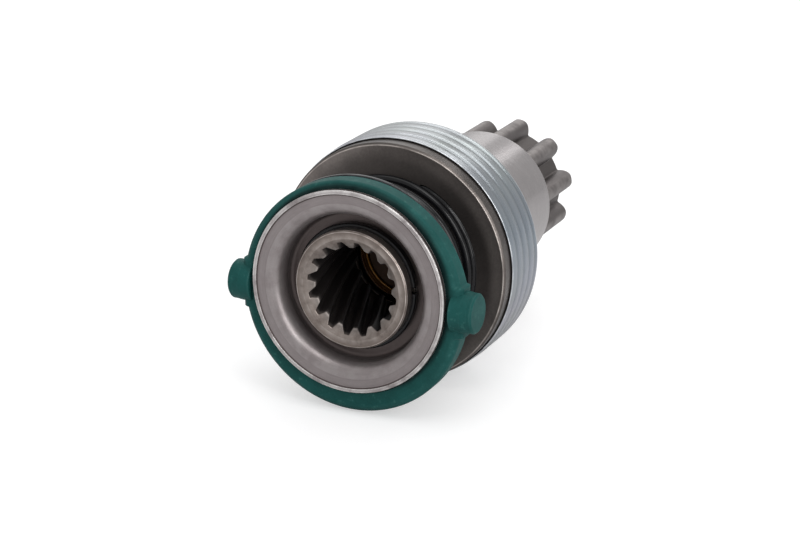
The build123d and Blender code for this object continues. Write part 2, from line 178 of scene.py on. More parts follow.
def rounded(corners, closed=False, steps=5):
    """Outline through corners of (radius, place, rounding) with arcs in the corners.

    Each corner becomes points at equal turns on the circle that touches both of its sides,
    with one more point up to hold along each side, so that flat faces stay flat.
    Returns the points, and marks of 1 and -1 for corners that turn one way or the other, less
    where the rounding is larger than full_mark.
    """
    hold, full_mark = 0.12 * MM, 0.5 * MM
    corners = np.asarray(corners, float)
    spot, size = corners[:, :2], corners[:, 2]
    back, ahead = np.roll(spot, 1, 0) - spot, np.roll(spot, -1, 0) - spot
    back_length = np.linalg.norm(back, axis=1)[:, None]
    ahead_length = np.linalg.norm(ahead, axis=1)[:, None]
    back, ahead = back / back_length, ahead / ahead_length
    half = np.arccos(np.clip((back * ahead).sum(1), -1, 1))[:, None] / 2
    size = np.maximum(size, 1e-6)[:, None]
    tangent = size / np.tan(half)
    middle = back + ahead
    middle /= np.linalg.norm(middle, axis=1)[:, None]
    centre = spot + middle * size / np.sin(half)
    turn = (math.pi - 2 * half)[:, :, None]
    share = np.linspace(0, 1, steps)[None, :, None]
    first, last = (spot + back * tangent - centre)[:, None], (spot + ahead * tangent - centre)[:, None]
    arc = (np.sin((1 - share) * turn) * first + np.sin(share * turn) * last) / np.sin(turn) + centre[:, None]
    spare_back = back_length - tangent - np.roll(tangent, 1, 0)
    spare_ahead = ahead_length - tangent - np.roll(tangent, -1, 0)
    reach_back = tangent + np.clip(spare_back * 0.4, 0, hold)
    reach_ahead = tangent + np.clip(spare_ahead * 0.4, 0, hold)
    points = np.concatenate([
        (spot + back * reach_back)[:, None], arc, (spot + ahead * reach_ahead)[:, None]], axis=1)
    side = np.sign(back[:, 0] * ahead[:, 1] - back[:, 1] * ahead[:, 0])
    marks = np.zeros(points.shape[:2])
    marks[:, 1:-1] = (side * np.minimum(1, full_mark / np.maximum(size[:, 0], full_mark)))[:, None]
    if closed:
        return points.reshape(-1, 2), marks.reshape(-1)
    points = [spot[:1]] + list(points[1:-1]) + [spot[-1:]]
    marks = [[0.0]] + list(marks[1:-1]) + [[0.0]]
    return np.concatenate(points), np.concatenate(marks)


def outward(outline, marks):
    """The marks of a closed outline, turned so that its outward corners are positive."""
    return -marks * np.sign(np.cross(outline, np.roll(outline, -1, 0)).sum())


def even_angles(radius_of, period, count):
    """Angles over one period at equal steps along the outline radius_of(angle)."""
    angle = np.linspace(-period / 2, period / 2, 4001)
    radius = radius_of(angle)
    step = np.hypot(np.diff(radius), np.diff(angle) * radius[1:])
    path = np.concatenate([[0], np.cumsum(step)])
    return np.interp(np.linspace(0, path[-1], count + 1)[:-1], path, angle)


def repeated(local, count, phase):
    """The angles of one tooth's period, repeated round the axis from a phase."""
    return phase + (np.arange(count)[:, None] * (2 * math.pi / count) + local[None, :]).reshape(-1)


def circle(count):
    """Evenly spaced angles of a full turn, as one row."""
    return np.linspace(0, 2 * math.pi, count, endpoint=False)[None, :]


def soft_min(a, b, width):
    """The smaller of two fields, with their crossing rounded over this width."""
    blend = np.clip(0.5 + (b - a) / (2 * width), 0, 1)
    return b * (1 - blend) + a * blend - width * blend * (1 - blend)


def soft_max(a, b, width):
    """The larger of two fields, with their crossing rounded over this width."""
    return -soft_min(-a, -b, width)


def smooth_step(low, high, value):
    """0 below low, 1 above high, and a smooth S between them."""
    share = np.clip((value - low) / (high - low), 0, 1)
    return share * share * (3 - 2 * share)


def lathe_points(radius, place, angle):
    """Points at this radius and angle about the Y axis; the three arrays are spread to one grid."""
    radius, place, angle = np.broadcast_arrays(radius, place, angle)
    return np.stack([radius * np.cos(angle), place, radius * np.sin(angle)], axis=-1)


def grid_piece(name, points, closed_rows=False, closed_columns=True, caps=False, **marks):
    """A mesh over a grid of points, rows by columns, with quads between neighbours.

    The grid may close on itself along rows, columns or both, and caps fill the first and last
    row. If its enclosed volume comes out negative, every face is turned round. The UV map runs
    once round the columns in U and in tenths of a metre of path length along the rows in V.
    Each mark is a value for each point, kept as an attribute for the materials.
    """
    rows, columns = points.shape[:2]
    row = np.arange(rows if closed_rows else rows - 1)[:, None]
    column = np.arange(columns if closed_columns else columns - 1)[None, :]
    next_row, next_column = (row + 1) % rows, (column + 1) % columns
    faces = np.stack(np.broadcast_arrays(
        row * columns + column, next_row * columns + column,
        next_row * columns + next_column, row * columns + next_column), axis=-1).reshape(-1, 4)
    path = np.linalg.norm(np.diff(points, axis=0, append=points[:1]), axis=2).mean(1)
    path = np.concatenate([[0], np.cumsum(path)]) * 10
    u, v = np.broadcast_arrays(column / columns, path[row])
    u_next, v_next = np.broadcast_arrays((column + 1) / columns, path[row + 1])
    corners = ((u, v), (u, v_next), (u_next, v_next), (u_next, v))
    uv = np.stack([np.stack(pair, -1) for pair in corners], axis=2).reshape(-1, 4, 2)
    flat = points.reshape(-1, 3)
    first, second, third, fourth = (flat[faces[:, k]] for k in range(4))
    volume = (first * np.cross(second, third)).sum() + (first * np.cross(third, fourth)).sum()
    ends = []
    if caps:
        ends = [np.arange(columns)[::-1], (rows - 1) * columns + np.arange(columns)]
        for end in ends:
            fan = flat[end]
            volume += (fan[0] * np.cross(fan[1:-1], fan[2:])).sum()
    if volume < 0:
        faces, uv = faces[:, ::-1], uv[:, ::-1]
        ends = [end[::-1] for end in ends]
    mesh = bpy.data.meshes.new(name)
    mesh.from_pydata(flat, [], faces.tolist() + [end.tolist() for end in ends])
    spare = np.zeros((sum(len(end) for end in ends), 2))
    layer = mesh.uv_layers.new(name="lathe")
    layer.uv.foreach_set("vector", np.concatenate([uv.reshape(-1, 2), spare]).astype(np.float32).ravel())
    for label, value in marks.items():
        value = np.asarray(value, float)
        value = np.broadcast_to(value if value.ndim > 1 else value[:, None], (rows, columns))
        attribute = mesh.attributes.new(label, "FLOAT", "POINT")
        attribute.data.foreach_set("value", value.astype(np.float32).ravel())
    mesh.polygons.foreach_set("use_smooth", np.ones(len(mesh.polygons), bool))
    mesh.update()
    piece = bpy.data.objects.new(name, mesh)
    bpy.context.scene.collection.objects.link(piece)
    return piece


def joined(name, pieces):
    """One object that holds the meshes of several, which go."""
    first = pieces[0]
    with bpy.context.temp_override(
            active_object=first, object=first, selected_objects=pieces, selected_editable_objects=pieces):
        bpy.ops.object.join()
    first.name = first.data.name = name
    return first


def turned_piece(name, corners, columns=360, steps=5, painted_shade=None, brightened=None, worn=1.0):
    """A closed body of revolution about the Y axis through rounded corners, given in mm.

    A shade function gives painted shade at a radius and place, over the soiling and painted shade that the
    inward corners have, and a bright function gives bright marks, rubbed and painted as highlights, over the
    share worn that the outward corners have.
    """
    outline, marks = rounded(np.asarray(corners, float) * MM, closed=True, steps=steps)
    edge = outward(outline, marks)
    points = lathe_points(outline[:, :1], outline[:, 1:], circle(columns))
    # Outward corners are rubbed; inward corners get soiling and painted shade.
    wear, grime = np.clip(edge, 0, 1) * worn, np.clip(-edge, 0, 1)
    if painted_shade is not None:
        grime = np.maximum(grime, painted_shade(outline[:, 0], outline[:, 1]))
    if brightened is not None:
        wear = np.maximum(wear, brightened(outline[:, 0], outline[:, 1]))
    return grid_piece(name, points, closed_rows=True, wear=wear, grime=grime)


def settle(piece, body, material, slot_name, *nodes):
    """Gives a piece its finish and its body, and hides the CAD nodes that it stands for. The slot name is not
    used.
    """
    piece.data.materials.clear()
    piece.data.materials.append(material)
    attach(piece, body)
    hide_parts(*nodes)


# ---------------------------------------------------------------- shared effects


def feed(tree, socket, value):
    """Sets a socket to a value, or links it from another socket."""
    if isinstance(value, bpy.types.NodeSocket):
        tree.links.new(value, socket)
    else:
        socket.default_value = value


def add(tree, kind, values=None, **settings):
    """A node with its settings, and its inputs set from values or linked from sockets."""
    node = tree.nodes.new("ShaderNode" + kind)
    for label, value in settings.items():
        setattr(node, label, value)
    for key, value in (values or {}).items():
        feed(tree, node.inputs[key], value)
    return node


def arithmetic(tree, operation, a, b=0.0, clamp=False):
    """A maths node's output."""
    return add(tree, "Math", {0: a, 1: b}, operation=operation, use_clamp=clamp).outputs[0]


def multiply(tree, a, b, clamp=False):
    """The product of two numbers or sockets."""
    return arithmetic(tree, "MULTIPLY", a, b, clamp)


def remap(tree, value, low, high, to_low=0.0, to_high=1.0):
    """A value moved from one range to another and held at the ends."""
    return add(tree, "MapRange", {0: value, 1: low, 2: high, 3: to_low, 4: to_high}).outputs[0]


def mix_colours(tree, share, a, b):
    """Two colours mixed by a share."""
    return add(tree, "Mix", {0: share, 6: a, 7: b}, data_type="RGBA").outputs[2]


def tinted(tree, base, tone):
    """A colour made lighter or darker by a tone round 1."""
    return add(tree, "VectorMath", {0: base, 1: tone}, operation="MULTIPLY").outputs[0]


def object_place(tree):
    """The object's own coordinates."""
    return add(tree, "TexCoord").outputs["Object"]


def noise(tree, vector, scale, detail=3.0, rough=0.55):
    """A noise texture's value."""
    return add(tree, "TexNoise", {
        "Vector": vector, "Scale": scale, "Detail": detail, "Roughness": rough}).outputs[0]


def attribute(tree, name):
    """A mark that the mesh carries."""
    return add(tree, "Attribute", attribute_name=name).outputs["Fac"]


def new_group(name, inputs, outputs):
    """A shader group with named sockets: (name, kind, default) in, (name, kind) out.

    Returns the group with its input and output nodes, or with None for both if it was there.
    """
    if name in bpy.data.node_groups:
        return bpy.data.node_groups[name], None, None
    group = bpy.data.node_groups.new(name, "ShaderNodeTree")
    for label, kind, value in inputs:
        group.interface.new_socket(label, in_out="INPUT", socket_type=kind).default_value = value
    for label, kind in outputs:
        group.interface.new_socket(label, in_out="OUTPUT", socket_type=kind)
    return group, group.nodes.new("NodeGroupInput"), group.nodes.new("NodeGroupOutput")


def mottle_group():
    """Slow and fine variation of tone over the object, for stains and cast grain."""
    group, given, result = new_group(
        "surface_mottle", [("Large", FLOAT, 90.0), ("Small", FLOAT, 900.0), ("Contrast", FLOAT, 0.3)],
        [("Tone", FLOAT), ("Grain", FLOAT)])
    if given:
        place = object_place(group)
        large = noise(group, place, given.outputs["Large"], 4.0, 0.6)
        small = noise(group, place, given.outputs["Small"], 3.0, 0.7)
        both = arithmetic(group, "ADD", multiply(group, large, 0.65), multiply(group, small, 0.35))
        swing = multiply(group, arithmetic(group, "SUBTRACT", both, 0.5), given.outputs["Contrast"])
        feed(group, result.inputs["Tone"], arithmetic(group, "ADD", multiply(group, swing, 4.0), 1.0))
        feed(group, result.inputs["Grain"], small)
    return group


def turning_group():
    """Fine rings that a lathe or a grinding wheel leaves, along the outline's path length."""
    group, given, result = new_group(
        "turning_marks", [("Fineness", FLOAT, 900.0), ("Drift", FLOAT, 0.02)],
        [("Height", FLOAT), ("Streak", FLOAT)])
    if given:
        fineness, drift = given.outputs["Fineness"], given.outputs["Drift"]
        split = add(group, "SeparateXYZ", {0: add(group, "UVMap", uv_map="lathe").outputs[0]})
        around = multiply(group, split.outputs[0], 2 * math.pi)
        ring = add(group, "CombineXYZ", {
            0: multiply(group, arithmetic(group, "COSINE", around), drift),
            1: multiply(group, arithmetic(group, "SINE", around), drift),
            2: split.outputs[1]}).outputs[0]
        fine = noise(group, ring, fineness, 2.0, 0.6)
        broad = noise(group, ring, multiply(group, fineness, 0.17), 2.0, 0.5)
        both = arithmetic(group, "ADD", multiply(group, fine, 0.5), multiply(group, broad, 0.5))
        feed(group, result.inputs["Height"], fine)
        feed(group, result.inputs["Streak"], both)
    return group


def edge_group():
    """Bright rubbed edges and painted highlights, and dark soiling with painted shade in corners and hollows,
    broken up by noise.
    """
    group, given, result = new_group(
        "edges_and_grime",
        [("Base", COLOUR, (0.2, 0.2, 0.2, 1)), ("Rubbed", COLOUR, (0.6, 0.6, 0.6, 1)),
         ("Dirt_and_shade", COLOUR, (0.02, 0.015, 0.012, 1)), ("Rub", FLOAT, 0.6), ("Grime_and_shade", FLOAT, 0.6)],
        [("Color", COLOUR), ("Mask", FLOAT)])
    if given:
        patch = remap(group, noise(group, object_place(group), 260.0, 4.0, 0.6), 0.3, 0.6)
        worn = multiply(group, attribute(group, "wear"), given.outputs["Rub"])
        rub = multiply(group, worn, patch, clamp=True)
        # The dark mark holds soiling and painted shade; it mixes in the dark colour.
        dirt_and_shade = multiply(group, attribute(group, "grime"), given.outputs["Grime_and_shade"], clamp=True)
        shaded = mix_colours(group, dirt_and_shade, given.outputs["Base"], given.outputs["Dirt_and_shade"])
        feed(group, result.inputs["Color"], mix_colours(group, rub, shaded, given.outputs["Rubbed"]))
        feed(group, result.inputs["Mask"], rub)
    return group


def mottled(tree, large, small, contrast):
    """Tone and grain of the shared mottle."""
    node = add(tree, "Group", {
        "Large": large, "Small": small, "Contrast": contrast}, node_tree=mottle_group())
    return node.outputs["Tone"], node.outputs["Grain"]


def turned_marks(tree, fineness, drift=0.02):
    """Height and streak of the shared turning marks."""
    node = add(tree, "Group", {"Fineness": fineness, "Drift": drift}, node_tree=turning_group())
    return node.outputs["Height"], node.outputs["Streak"]


def streaked(tree, tone, streak, swing):
    """A tone varied by the streaks, by this much either way."""
    return multiply(tree, tone, remap(tree, streak, 0.3, 0.7, 1 - swing, 1 + swing))


def edged(tree, shader, base, rubbed, dirt_and_shade, rub, grime):
    """The base colour under the shared rubbed edges and painted highlights, soiling and painted shade, into
    the shader; returns the mask of the bright marks.
    """
    node = add(tree, "Group", {
        "Base": base, "Rubbed": (*rubbed, 1), "Dirt_and_shade": (*dirt_and_shade, 1), "Rub": rub, "Grime_and_shade": grime},
        node_tree=edge_group())
    feed(tree, shader.inputs["Base Color"], node.outputs["Color"])
    return node.outputs["Mask"]


def bumps(tree, shader, *layers):
    """Bump nodes one over another, from (height, strength, distance in mm), into the shader."""
    under = {}
    for height, strength, distance in layers:
        values = {"Strength": strength, "Distance": distance * MM, "Height": height, **under}
        under = {"Normal": add(tree, "Bump", values).outputs[0]}
    feed(tree, shader.inputs["Normal"], under["Normal"])


def new_material(name, metallic, roughness, specular=0.5):
    """A material with its tree and shader, or with None for both if it was there."""
    known = bpy.data.materials.get("finish_" + name)
    if known:
        return known, None, None
    material = bpy.data.materials.new("finish_" + name)
    material.use_nodes = True
    shader = material.node_tree.nodes["Principled BSDF"]
    shader.inputs["Metallic"].default_value = metallic
    shader.inputs["Roughness"].default_value = roughness
    shader.inputs["Specular IOR Level"].default_value = specular
    return material, material.node_tree, shader


def metal_material(name, base, roughness, rubbed, rub, grime, contrast, fineness, marks, grain,
                   metallic=1.0, specular=0.5, small=900.0, dirt_and_shade=(0.02, 0.015, 0.012)):
    """A machined, pressed or drawn metal: mottled tone, turning marks, grain, rubbed edges and painted
    highlights, soiling and painted shade.
    """
    material, tree, shader = new_material(name, metallic, roughness, specular)
    if tree is None:
        return material
    tone, fleck = mottled(tree, 90.0, small, contrast)
    height, streak = turned_marks(tree, fineness)
    body = tinted(tree, base, streaked(tree, tone, streak, 0.1))
    mask = edged(tree, shader, body, rubbed, dirt_and_shade, rub, grime)
    rough = multiply(tree, remap(tree, tone, 0.6, 1.4, 1.15, 0.88), roughness)
    rough = arithmetic(tree, "SUBTRACT", rough, multiply(tree, mask, 0.1), clamp=True)
    feed(tree, shader.inputs["Roughness"], rough)
    bumps(tree, shader, (height, marks, 0.02), (fleck, grain, 0.03))
    return material


def object_metal(name, base, roughness, metallic=1.0, small=1500.0, contrast=0.3, grain=0.25):
    """A finish for carried-over solids: mottled tone and grain on the object's own coordinates."""
    material, tree, shader = new_material(name, metallic, roughness)
    if tree is None:
        return material
    tone, fleck = mottled(tree, 120.0, small, contrast)
    feed(tree, shader.inputs["Base Color"], tinted(tree, base, tone))
    rough = remap(tree, tone, 0.6, 1.4, roughness * 1.3, roughness * 0.8)
    feed(tree, shader.inputs["Roughness"], rough)
    bumps(tree, shader, (fleck, grain, 0.02))
    return material


def colours():
    """The colours that are set in the panel."""
    return bpy.context.scene.drive_finishes


# ---------------------------------------------------------------- sleeve, flange and drum


def make_driver_mesh(sizes):
    """Sleeve, flange and drum as one closed surface.

    The bore's radius is the larger of a tooth outline and the lead-in cone. The tooth outline
    is the smaller of a flat floor and a straight flank, raised to the spline tips, and its
    angle turns in proportion to the distance along the axis. The rest is a rounded profile
    turned about the axis; on the flange's front face the grid turns back to its start.
    """
    tip, root = sizes.spline_tip_radius, sizes.spline_root_radius
    sleeve, drum, front = sizes.sleeve_radius, sizes.drum_radius, sizes.flange_front
    half_mouth, half_floor = 1.45 * MM, 0.65 * MM  # half widths of a space at the tips and at its floor
    mouth, floor = np.array([tip - 0.1 * MM, half_mouth]), np.array([root, half_floor])
    normal = np.array([floor[1] - mouth[1], mouth[0] - floor[0]])
    offset = normal @ mouth

    def tooth_outline(angle):
        across = np.abs(angle)
        flank = offset / (normal[0] * np.cos(across) + normal[1] * np.sin(across))
        flank = np.where(across < 0.02, 1.0, flank)  # none in the middle of a space
        space = soft_min(root / np.cos(across), np.clip(flank, 0, 1), 0.16 * MM)
        return soft_max(space, np.full_like(across, tip), 0.10 * MM)

    local = even_angles(tooth_outline, 2 * math.pi / sizes.spline_count, 28)
    angle = repeated(local, sizes.spline_count, sizes.spline_phase)
    outline = tooth_outline(np.tile(local, sizes.spline_count))
    cone_mouth, cone_depth, counterbore = 12.55 * MM, 1.5 * MM, 11.95 * MM
    end = 27.55 * MM
    relief = end - 2.6 * MM
    place = np.concatenate([
        np.linspace(0, 1.7 * MM, 18), np.linspace(2.2 * MM, relief - 0.2 * MM, 22),
        [relief - 0.05 * MM, relief, relief, relief + 0.15 * MM, end - 0.5 * MM, end - 0.15 * MM]])
    cone = (cone_mouth - place * (cone_mouth - tip) / cone_depth)[:, None]
    bore = soft_max(outline[None, :], cone, 0.06 * MM)
    bore[0] = cone_mouth
    bore[-4:] = counterbore  # the rows behind the splines

    inside, drum_end, bevel = drum - 3.3 * MM, 40.2 * MM, 0.55 * MM
    groove, groove_front, groove_back = sleeve - 1.0 * MM, SNAP_FRONT * MM, SNAP_BACK * MM
    profile, edge = rounded([
        (counterbore, end, 0), (inside, end, 0.3 * MM), (inside, drum_end, 0.15 * MM),
        (drum, drum_end, 0.3 * MM), (drum, front + bevel, 0.18 * MM), (drum - bevel, front, 0.18 * MM),
        (sleeve, front, 0.8 * MM), (sleeve, groove_back, 0.08 * MM), (groove, groove_back, 0.08 * MM),
        (groove, groove_front, 0.08 * MM), (sleeve, groove_front, 0.08 * MM),
        (sleeve, 0.35 * MM, 0.12 * MM), (sleeve - 0.35 * MM, 0, 0.12 * MM), (12.62 * MM, 0, 0)])

    # Rings across the flange's front face, over which the grid turns back.
    on_face = np.abs(profile[:, 1] - front) < 1e-9
    start = np.flatnonzero(on_face & (profile[:, 0] > drum - 2 * MM))[-1] + 1
    rings = np.linspace(profile[start - 1, 0], sleeve + 1.2 * MM, 30)[1:]
    stop = start + len(rings)
    profile = np.insert(profile, start, np.stack([rings, np.full_like(rings, front)], 1), axis=0)
    edge = np.insert(edge, start, np.zeros(len(rings)))
    unwind = np.ones(len(profile))
    unwind[start:stop] = 1 - smooth_step(0, 1, np.linspace(0, 1, len(rings)))
    unwind[stop:] = 0

    turn_end = sizes.spline_turn * end
    radius = np.concatenate([bore, np.repeat(profile[:, :1], len(angle), 1)])
    height = np.concatenate([place, profile[:, 1]])[:, None]
    twist = np.concatenate([sizes.spline_turn * place, turn_end * unwind])[:, None]
    points = lathe_points(radius, height, angle[None, :] - twist)

    # Rubbed spline tips, cone and ends; painted shade deep in the bore, and painted shade on the flange's
    # front face, darker towards the spring and on one side.
    crest = 1 - smooth_step(tip + 0.05 * MM, tip + 0.5 * MM, bore)
    bore_wear = crest * (1 - smooth_step(0, 2.5 * MM, place))[:, None] * 0.8
    bore_wear += np.exp(-((bore - cone) / (0.12 * MM)) ** 2) * (place < 1.6 * MM)[:, None] * 0.3
    bore_wear[-1:] = 1.0
    # Painted shade, darker deeper into the bore.
    bore_grime = smooth_step(0.2 * MM, 2.4 * MM, place)[:, None] * np.ones_like(bore)
    bore_grime[-1:] = 0.0
    edge[profile[:, 0] > drum - 0.3 * MM] *= 0.05  # the drum's outer edges are hardly rubbed
    edge[-1] = 0.5
    # Painted shade on the flange's front face: darker towards the spring and on one side.
    on_front = np.abs(profile[:, 1] - front) < 1e-9
    flange_shade_band = on_front * (1 - smooth_step(25.5 * MM, 30.0 * MM, profile[:, 0]))
    shade_mark = flange_shade_band[:, None] * (0.5 + 0.42 * np.cos(angle - turn_end - 0.2))[None, :]
    wear = np.concatenate([bore_wear, np.repeat(np.clip(edge, 0, 1)[:, None], len(angle), 1)])
    grime = np.concatenate([bore_grime, np.maximum(-edge[:, None], shade_mark)])
    bare = np.concatenate([
        1 - smooth_step(0.4 * MM, 2.0 * MM, place), 1 - smooth_step(0.4 * MM, 0.7 * MM, profile[:, 1])])
    # The drum's wall, which the material paints darker as shade.
    wall = np.concatenate([
        np.zeros(len(place)), smooth_step(drum - 0.5 * MM, drum - 0.3 * MM, profile[:, 0])])
    return grid_piece("driver_body", points, closed_rows=True, wear=wear, grime=grime, bare=bare, wall=wall)


def driver_material():
    """Dark phosphated steel, bare and warm on the sleeve's end face; a darker copy painted on the drum's wall
    as shade, and painted shade in the bore and on the flange, which also dulls the steel there.
    """
    material, tree, shader = new_material("phosphated_steel", 0.75, 0.5, 0.15)
    if tree is None:
        return material
    paint = colours()
    tone, fleck = mottled(tree, 70.0, 1600.0, 0.42)
    height, streak = turned_marks(tree, 700.0)
    bare, shade_mark = attribute(tree, "bare"), attribute(tree, "grime")
    face = tinted(tree, paint.phosphate, tone)
    # A darker copy of the phosphate on the drum's wall: painted shade.
    side = tinted(tree, tuple(part * 0.5 for part in paint.phosphate), tone)
    light = tinted(tree, paint.turned, streaked(tree, tone, streak, 0.2))
    body = mix_colours(tree, bare, mix_colours(tree, attribute(tree, "wall"), face, side), light)
    edged(tree, shader, body, (0.62, 0.56, 0.52), (0.006, 0.005, 0.005), 1.0, 0.97)
    # Where the painted shade lies, the steel is made less metallic and rougher, so it reflects less.
    feed(tree, shader.inputs["Metallic"], remap(tree, shade_mark, 0.0, 1.0, 0.8, 0.0))
    rough = remap(tree, tone, 0.6, 1.4, 0.36, 0.24)
    rough = arithmetic(tree, "ADD", rough, multiply(tree, shade_mark, 0.12))
    rough = arithmetic(tree, "ADD", rough, multiply(tree, bare, 0.04))
    feed(tree, shader.inputs["Roughness"], rough)
    bumps(tree, shader, (height, 0.4, 0.03), (fleck, 0.35, 0.04))
    return material


class DRIVE_OT_driver(bpy.types.Operator):
    """Make the splined sleeve with its flange and drum"""

    bl_idname = "drive.driver"
    bl_label = "Driver"

    def execute(self, context):
        piece = make_driver_mesh(context.scene.drive_sizes)
        settle(piece, "driver", driver_material(), "phosphated_steel", "driver")
        return {"FINISHED"}


# ---------------------------------------------------------------- snap ring, cup, fork ring and spring


def black_material():
    """Gloss black oxide with faint draw marks."""
    return metal_material(
        "black_oxide", colours().black, 0.13, rubbed=(0.10, 0.10, 0.11), rub=0.4, grime=0.3, contrast=0.4,
        fineness=500.0, marks=0.08, grain=0.08, metallic=0.0, specular=0.3)


def make_snap_ring_mesh():
    """A rounded rectangular section carried round the axis, short of a full turn by the gap.

    The section shrinks to a flat face over the last fractions of a degree at each end.
    """
    inner, outer, middle_radius = 13.65, 15.6, 15.0
    section, _ = rounded(np.array([
        (inner, SNAP_FRONT, 0.1), (outer, SNAP_FRONT, 0.5), (outer, SNAP_BACK, 0.3),
        (inner, SNAP_BACK, 0.1)]) * MM, closed=True)
    gap, half_gap = math.radians(4.0), 0.8 / middle_radius
    start, stop = gap + half_gap, gap + 2 * math.pi - half_gap
    near = np.array([0.0, 0.0, 0.3, 1.0]) * 0.2 / middle_radius
    angle = np.concatenate([start + near, np.linspace(start, stop, 300)[1:-1], (stop - near)[::-1]])
    shrink = np.ones(len(angle))
    shrink[[0, 1, 2]] = shrink[[-1, -2, -3]] = (0.5, 0.86, 0.96)
    middle = section.mean(0)
    spots = middle + (section[None] - middle) * shrink[:, None, None]
    points = lathe_points(spots[..., 0], spots[..., 1], angle[:, None])
    wear = (np.abs(shrink - 0.96) < 0.01) * 0.5
    return grid_piece("snap_ring_wire", points, caps=True, wear=wear, grime=np.zeros_like(wear))


class DRIVE_OT_snap_ring(bpy.types.Operator):
    """Make the split snap ring in the sleeve's groove"""

    bl_idname = "drive.snap_ring"
    bl_label = "Snap ring"

    def execute(self, context):
        settle(make_snap_ring_mesh(), "driver", black_material(), "black_steel", "snap_ring")
        return {"FINISHED"}


class DRIVE_OT_guide_cup(bpy.types.Operator):
    """Make the pressed guide cup"""

    bl_idname = "drive.guide_cup"
    bl_label = "Guide cup"

    def execute(self, context):
        sizes = context.scene.drive_sizes
        rim, step = sizes.rim_radius / MM, (sizes.rim_radius - sizes.rim_width) / MM
        shoulder, sheet = sizes.shoulder_round / MM, 1.3
        hole, well, tube, bottom, end = 14.9, 18.55, 18.55 + sheet, 4.7, 4.7 + sheet
        crest, face, behind = -2.35, -2.0, -0.7
        # Painted shade at the well's bottom and on the rim's outer side, and a bright rim face.
        piece = turned_piece("guide_cup_pressing", [
            (hole, bottom, 0.12), (well, bottom, 1.2), (well, -1.62, shoulder), (22.6, face, 12.0),
            (step, face, 0.22), (step, crest, 0.15), (rim, crest, 0.32), (rim, behind, 0.25),
            (tube, behind, shoulder - sheet), (tube, end, 0.2), (hole, end, 0.15)],
            steps=11, painted_shade=lambda radius, place: np.maximum(
                smooth_step(3.4 * MM, 4.7 * MM, place) * (radius < 19 * MM),
                smooth_step(-2.2 * MM, -1.9 * MM, place) * (radius > 24.85 * MM)),
            brightened=lambda radius, place: (place < -2.2 * MM) * 0.55)
        material = metal_material(
            "pressed_sheet", colours().sheet, 0.34, rubbed=(0.74, 0.71, 0.70), rub=1.0, grime=0.8,
            contrast=0.10, fineness=420.0, marks=0.3, grain=0.45, metallic=0.65,
            dirt_and_shade=(0.045, 0.030, 0.026))
        settle(piece, "guide_cup", material, "pressed_steel", "guide_cup")
        return {"FINISHED"}


def make_fork_ring_mesh(sizes):
    """Nylon ring and its two pins.

    The ring's outer radius is the larger of a circle and a flat pad across each pin, so one
    grid carries both; its section is a rounded rectangle whose outer side moves with that
    radius. Each pin is a rounded bar about an axis through the ring's middle.
    """
    outer, middle, low = sizes.ring_radius, 2.125 * MM, 1.95 * MM
    bore, crest, front, back = 21.95, sizes.ring_radius / MM, -0.6, 4.85
    pad_reach, pad_half = outer + 0.2 * MM, 6.3 * MM

    def outline(angle):
        flat = pad_reach / np.maximum(np.abs(np.cos(angle)), 0.1)
        side = pad_half / np.maximum(np.abs(np.sin(angle)), 0.01)
        return soft_max(soft_min(flat, side, 1.2 * MM), np.full_like(angle, outer), 0.15 * MM)

    half_turn = even_angles(outline, math.pi, 240)
    angle = np.concatenate([half_turn, half_turn + math.pi])[None, :]
    base, edge = rounded(np.array([
        (bore + 1.8, front, 0.2), (crest - 1.2, front, 1.4), (crest, 0.6, 1.4), (crest, 4.5, 0.15),
        (crest - 0.35, back, 0.15), (bore, back, 0.3), (bore, 1.2, 0.3)]) * MM, closed=True, steps=9)

    # More rings on the front face, so that the painted shadow beside the cup's rim has an even edge.
    rings = np.array([24.8, 25.4, 26.0, 26.6]) * MM
    spare = np.flatnonzero((base[:-1, 0] < 24.5 * MM) & (base[1:, 0] > 26 * MM))[0] + 1
    base = np.insert(base, spare, np.stack([rings, np.full_like(rings, front * MM)], 1), axis=0)
    edge = outward(base, np.insert(edge, spare, np.zeros(len(rings))))
    share = smooth_step(23.9 * MM, 27.0 * MM, base[:, :1])
    points = lathe_points(base[:, :1] + share * (outline(angle) - crest * MM), base[:, 1:], angle)
    points[..., 2] -= low
    # A painted shadow on the front face beside the cup's rim, widest towards the upper right.
    beyond = np.hypot(points[..., 0], points[..., 2]) - sizes.rim_radius
    shade_width = (1.15 + 0.75 * np.cos(angle - math.radians(50))) * MM
    shade = (1 - smooth_step(0.25, 1.0, beyond / shade_width)) * (base[:, 1:] < 0.9 * MM)
    parts = [grid_piece(
        "fork_ring_body", points, closed_rows=True, wear=np.clip(edge, 0, 1) * 0.8, grime=shade)]

    pin, pole, root, tip = sizes.pin_radius / MM, 0.02, 26.0, 31.88
    bar, edge = rounded(np.array([
        (pole, root, 0), (pin + 0.2, root, 0.3), (pin + 0.19, 28.9, 0.12), (pin, 30.6, 0.12),
        (pin, 31.4, 0.3), (pin - 0.5, tip, 0.3), (pole, tip, 0)]) * MM)
    turn = circle(96)
    for side in (1, -1):
        spots = np.stack(np.broadcast_arrays(
            side * bar[:, 1:], middle + bar[:, :1] * np.cos(turn), -low + bar[:, :1] * np.sin(turn)), axis=-1)
        in_ring = np.abs(spots[..., 0]) < 27.2 * MM
        spots[..., 1] = np.where(in_ring, np.minimum(spots[..., 1], 4.84 * MM), spots[..., 1])
        parts.append(grid_piece(
            "fork_pin", spots, caps=True, wear=np.abs(edge) * 0.7, grime=np.zeros_like(edge)))
    return joined("fork_ring_moulding", parts)


